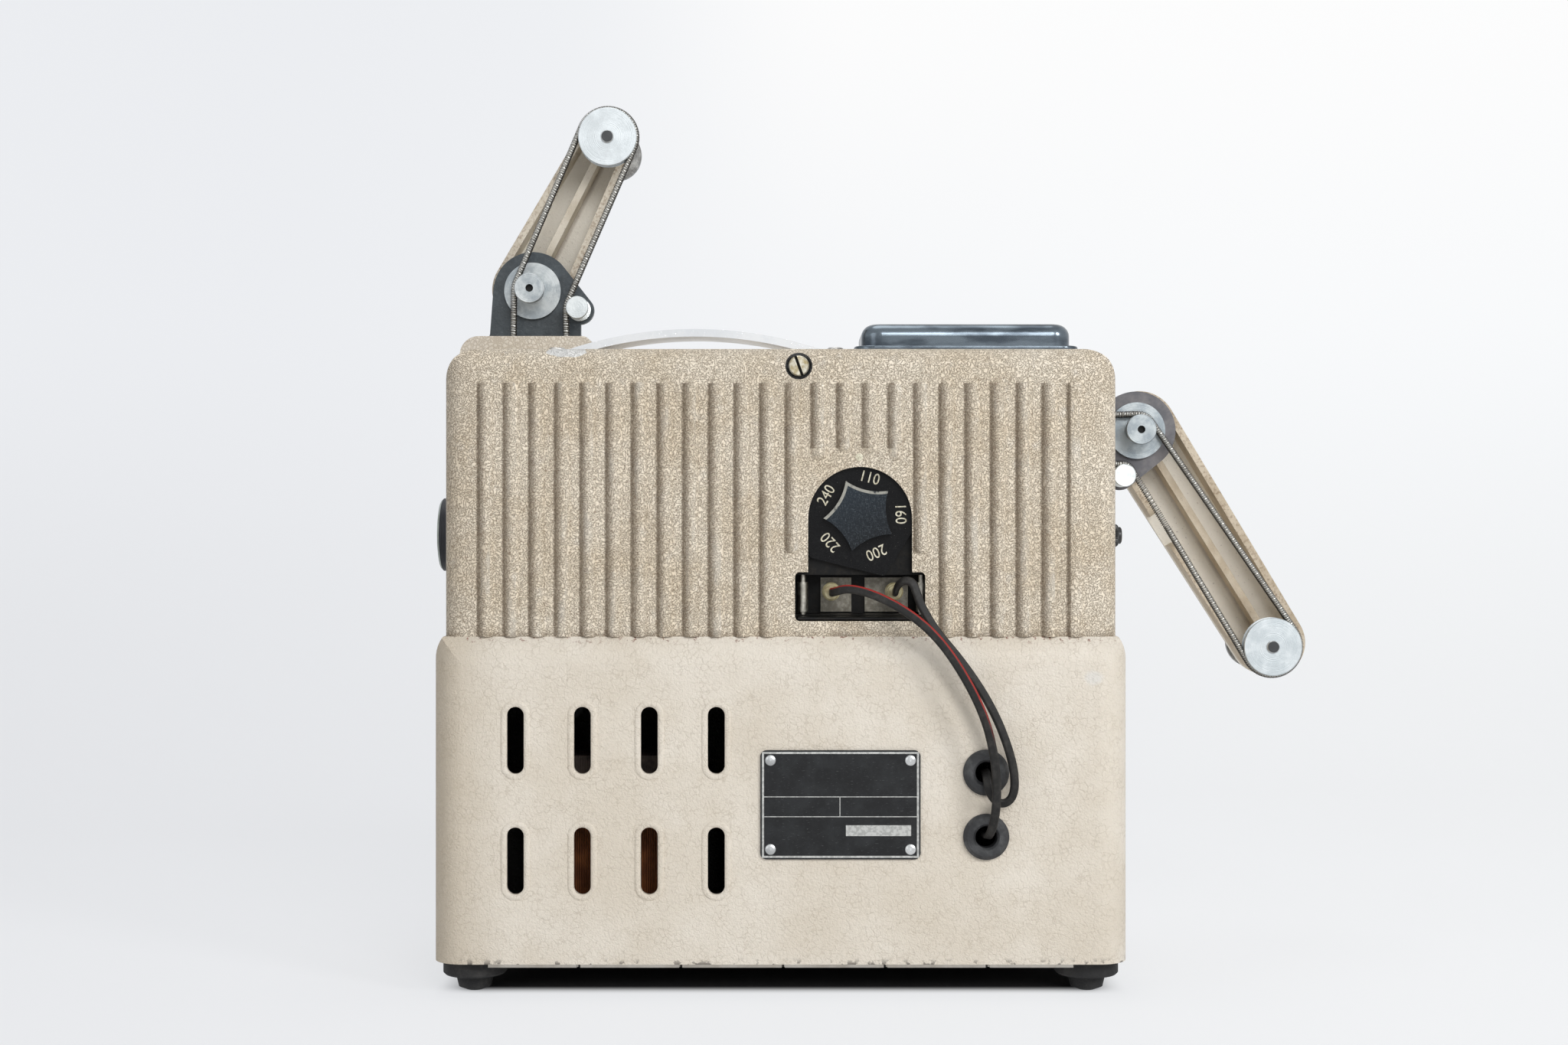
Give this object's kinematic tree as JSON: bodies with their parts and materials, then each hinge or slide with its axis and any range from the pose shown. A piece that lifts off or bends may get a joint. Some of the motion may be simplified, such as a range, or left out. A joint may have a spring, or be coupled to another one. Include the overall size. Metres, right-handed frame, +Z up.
{
  "type": "movie projector",
  "caption": "Compact cine projector seen from its rear: ribbed cover, voltage selector with leads, strap handle and two folding reel arms driven by spring belts.",
  "frame": {"origin": "centre of the base plate's underside, 10.4 mm above the feet's soles", "axes": "+X to the right seen from the rear (lens points -X), +Y towards the operator's side, +Z up"},
  "size_m": [0.3819, 0.1835, 0.3631],
  "materials": {
    "case_paint": "coarse wrinkle",
    "black_paint": "semi gloss",
    "base_metal": "matt",
    "rubber": "matt",
    "arm_alloy": "painted, speckled",
    "case_alloy": "painted, coarse wrinkle",
    "bracket_steel": "dark phosphate",
    "zinc_steel": "zinc plated",
    "dark_steel": "plain",
    "bright_metal": "polished",
    "spring_steel": "bright wire",
    "turned_alloy": "turned",
    "plate_alloy": "satin",
    "insulator": "moulded",
    "black_plastic": "gloss",
    "contact_brass": "plain",
    "core_steel": "laminated",
    "winding": "lacquered wire",
    "gear_brass": "cut",
    "clear_glass": "clear",
    "belt_rubber": "flat belt"
  },
  "bodies": {
    "case": {"rear_cover": "case_paint", "lower_housing": "case_paint", "front_casting": "case_alloy", "base_plate": "base_metal", "rubber_feet": "rubber", "cover_screw": "bright_metal", "rating_plate": "plate_alloy", "plate_rivets": "zinc_steel", "lead_grommets": "rubber", "contact_block": "insulator", "contact_strips": "contact_brass", "contact_clips": "zinc_steel", "lead_plugs": "black_plastic", "red_lead": "rubber", "black_lead": "rubber", "handle_pins": "zinc_steel", "upper_arm_bracket": "bracket_steel", "upper_belt": "spring_steel", "lower_arm_bracket": "bracket_steel", "lower_belt": "spring_steel", "arm_pivot_pins": "dark_steel", "transformer_core": "core_steel", "transformer_coil": "winding", "motor_stator": "core_steel", "shutter_belt": "belt_rubber", "sprocket_shoes": "zinc_steel", "gate_block": "turned_alloy", "lamp_house": "black_paint", "projection_lamp": "clear_glass", "lamp_socket": "insulator", "condenser_lens": "clear_glass"},
    "handle": {"carry_handle": "bright_metal"},
    "lid": {"top_lid": "black_paint"},
    "selector": {"voltage_dial": "black_plastic", "star_knob": "black_plastic"},
    "upper_arm": {"upper_arm": "arm_alloy"},
    "lower_arm": {"lower_arm": "arm_alloy"},
    "upper_pivot": {"upper_pivot_pulley": "zinc_steel"},
    "lower_pivot": {"lower_pivot_pulley": "zinc_steel"},
    "upper_roller": {"upper_idler": "turned_alloy"},
    "lower_roller": {"lower_idler": "turned_alloy"},
    "upper_reel": {"upper_reel_pulley": "zinc_steel", "upper_spindle": "dark_steel"},
    "lower_reel": {"lower_reel_pulley": "zinc_steel", "lower_spindle": "dark_steel"},
    "motor": {"motor_shaft": "dark_steel", "motor_rotor": "core_steel", "cooling_fan": "turned_alloy", "inching_knob": "black_plastic"},
    "shutter": {"shutter_shaft": "dark_steel", "shutter_disc": "black_paint"},
    "feed_sprocket": {"upper_sprocket": "turned_alloy", "upper_worm_wheel": "gear_brass", "belt_drive_pulley": "turned_alloy"},
    "takeup_sprocket": {"lower_sprocket": "turned_alloy", "lower_worm_wheel": "gear_brass"},
    "gate_slide": {"lens_holder": "black_paint"},
    "lens": {"lens_barrel": "turned_alloy", "lens_glass": "clear_glass"},
    "control": {"control_knob": "black_plastic"}
  },
  "joints": [
    {"name": "handle_lift", "type": "slide", "parent": "case", "child": "handle", "axis": [0, 0, 1], "range_m": [0, 0.001]},
    {"name": "lid_hinge", "type": "hinge", "parent": "case", "child": "lid", "pos_m": [0, 0.0045, 0.2439], "axis": [-1, 0, 0], "range_deg": [0, 90]},
    {"name": "selector_turn", "type": "hinge", "parent": "case", "child": "selector", "pos_m": [0.031, -0.058, 0.177], "axis": [0, 1, 0], "continuous": true},
    {"name": "upper_arm_fold", "type": "hinge", "parent": "case", "child": "upper_arm", "pos_m": [-0.1073, 0.04, 0.2741], "axis": [0, 1, 0], "range_deg": [0, 62.9], "deforming": ["upper_belt"]},
    {"name": "lower_arm_fold", "type": "hinge", "parent": "case", "child": "lower_arm", "pos_m": [0.1537, 0.04, 0.2138], "axis": [0, 1, 0], "range_deg": [0, 31.7], "deforming": ["lower_belt"]},
    {"name": "upper_pivot_spin", "type": "hinge", "parent": "case", "child": "upper_pivot", "pos_m": [-0.1073, 0.022, 0.2741], "axis": [0, 1, 0], "continuous": true},
    {"name": "lower_pivot_spin", "type": "hinge", "parent": "case", "child": "lower_pivot", "pos_m": [0.1537, 0.022, 0.2138], "axis": [0, 1, 0], "continuous": true},
    {"name": "upper_roller_spin", "type": "hinge", "parent": "case", "child": "upper_roller", "pos_m": [-0.087, 0.022, 0.2659], "axis": [0, 1, 0], "continuous": true},
    {"name": "lower_roller_spin", "type": "hinge", "parent": "case", "child": "lower_roller", "pos_m": [0.1467, 0.022, 0.1942], "axis": [0, 1, 0], "continuous": true},
    {"name": "upper_reel_spin", "type": "hinge", "parent": "upper_arm", "child": "upper_reel", "pos_m": [-0.0742, 0.05, 0.33905], "axis": [0, 1, 0], "continuous": true},
    {"name": "lower_reel_spin", "type": "hinge", "parent": "lower_arm", "child": "lower_reel", "pos_m": [0.21132, 0.05, 0.12069], "axis": [0, 1, 0], "continuous": true},
    {"name": "motor_spin", "type": "hinge", "parent": "case", "child": "motor", "pos_m": [0, 0.0125, 0.1686], "axis": [1, 0, 0], "continuous": true},
    {"name": "shutter_spin", "type": "hinge", "parent": "case", "child": "shutter", "pos_m": [-0.0775, 0.052, 0.1686], "axis": [1, 0, 0], "continuous": true},
    {"name": "feed_sprocket_spin", "type": "hinge", "parent": "case", "child": "feed_sprocket", "pos_m": [-0.1032, 0.04, 0.2006], "axis": [0, 1, 0], "continuous": true},
    {"name": "takeup_sprocket_spin", "type": "hinge", "parent": "case", "child": "takeup_sprocket", "pos_m": [-0.1032, 0.04, 0.1366], "axis": [0, 1, 0], "continuous": true},
    {"name": "gate_open", "type": "slide", "parent": "case", "child": "gate_slide", "axis": [-1, 0, 0], "range_m": [0, 0.008]},
    {"name": "lens_focus", "type": "slide", "parent": "gate_slide", "child": "lens", "axis": [-1, 0, 0], "range_m": [-0.002, 0.003]},
    {"name": "control_turn", "type": "hinge", "parent": "case", "child": "control", "pos_m": [0.085, 0.07, 0.06], "axis": [0, 1, 0], "range_deg": [0, 90]}
  ],
  "couplings": [
    {"joint": "shutter_spin", "follows": "motor_spin", "ratio": 1},
    {"joint": "feed_sprocket_spin", "follows": "motor_spin", "ratio": 0.057692},
    {"joint": "takeup_sprocket_spin", "follows": "motor_spin", "ratio": -0.057692},
    {"joint": "upper_reel_spin", "follows": "motor_spin", "ratio": 0.057692},
    {"joint": "lower_reel_spin", "follows": "motor_spin", "ratio": 0.057692},
    {"joint": "upper_pivot_spin", "follows": "motor_spin", "ratio": 0.10055},
    {"joint": "lower_pivot_spin", "follows": "motor_spin", "ratio": 0.10055},
    {"joint": "upper_roller_spin", "follows": "motor_spin", "ratio": -0.13536},
    {"joint": "lower_roller_spin", "follows": "motor_spin", "ratio": -0.13536}
  ]
}
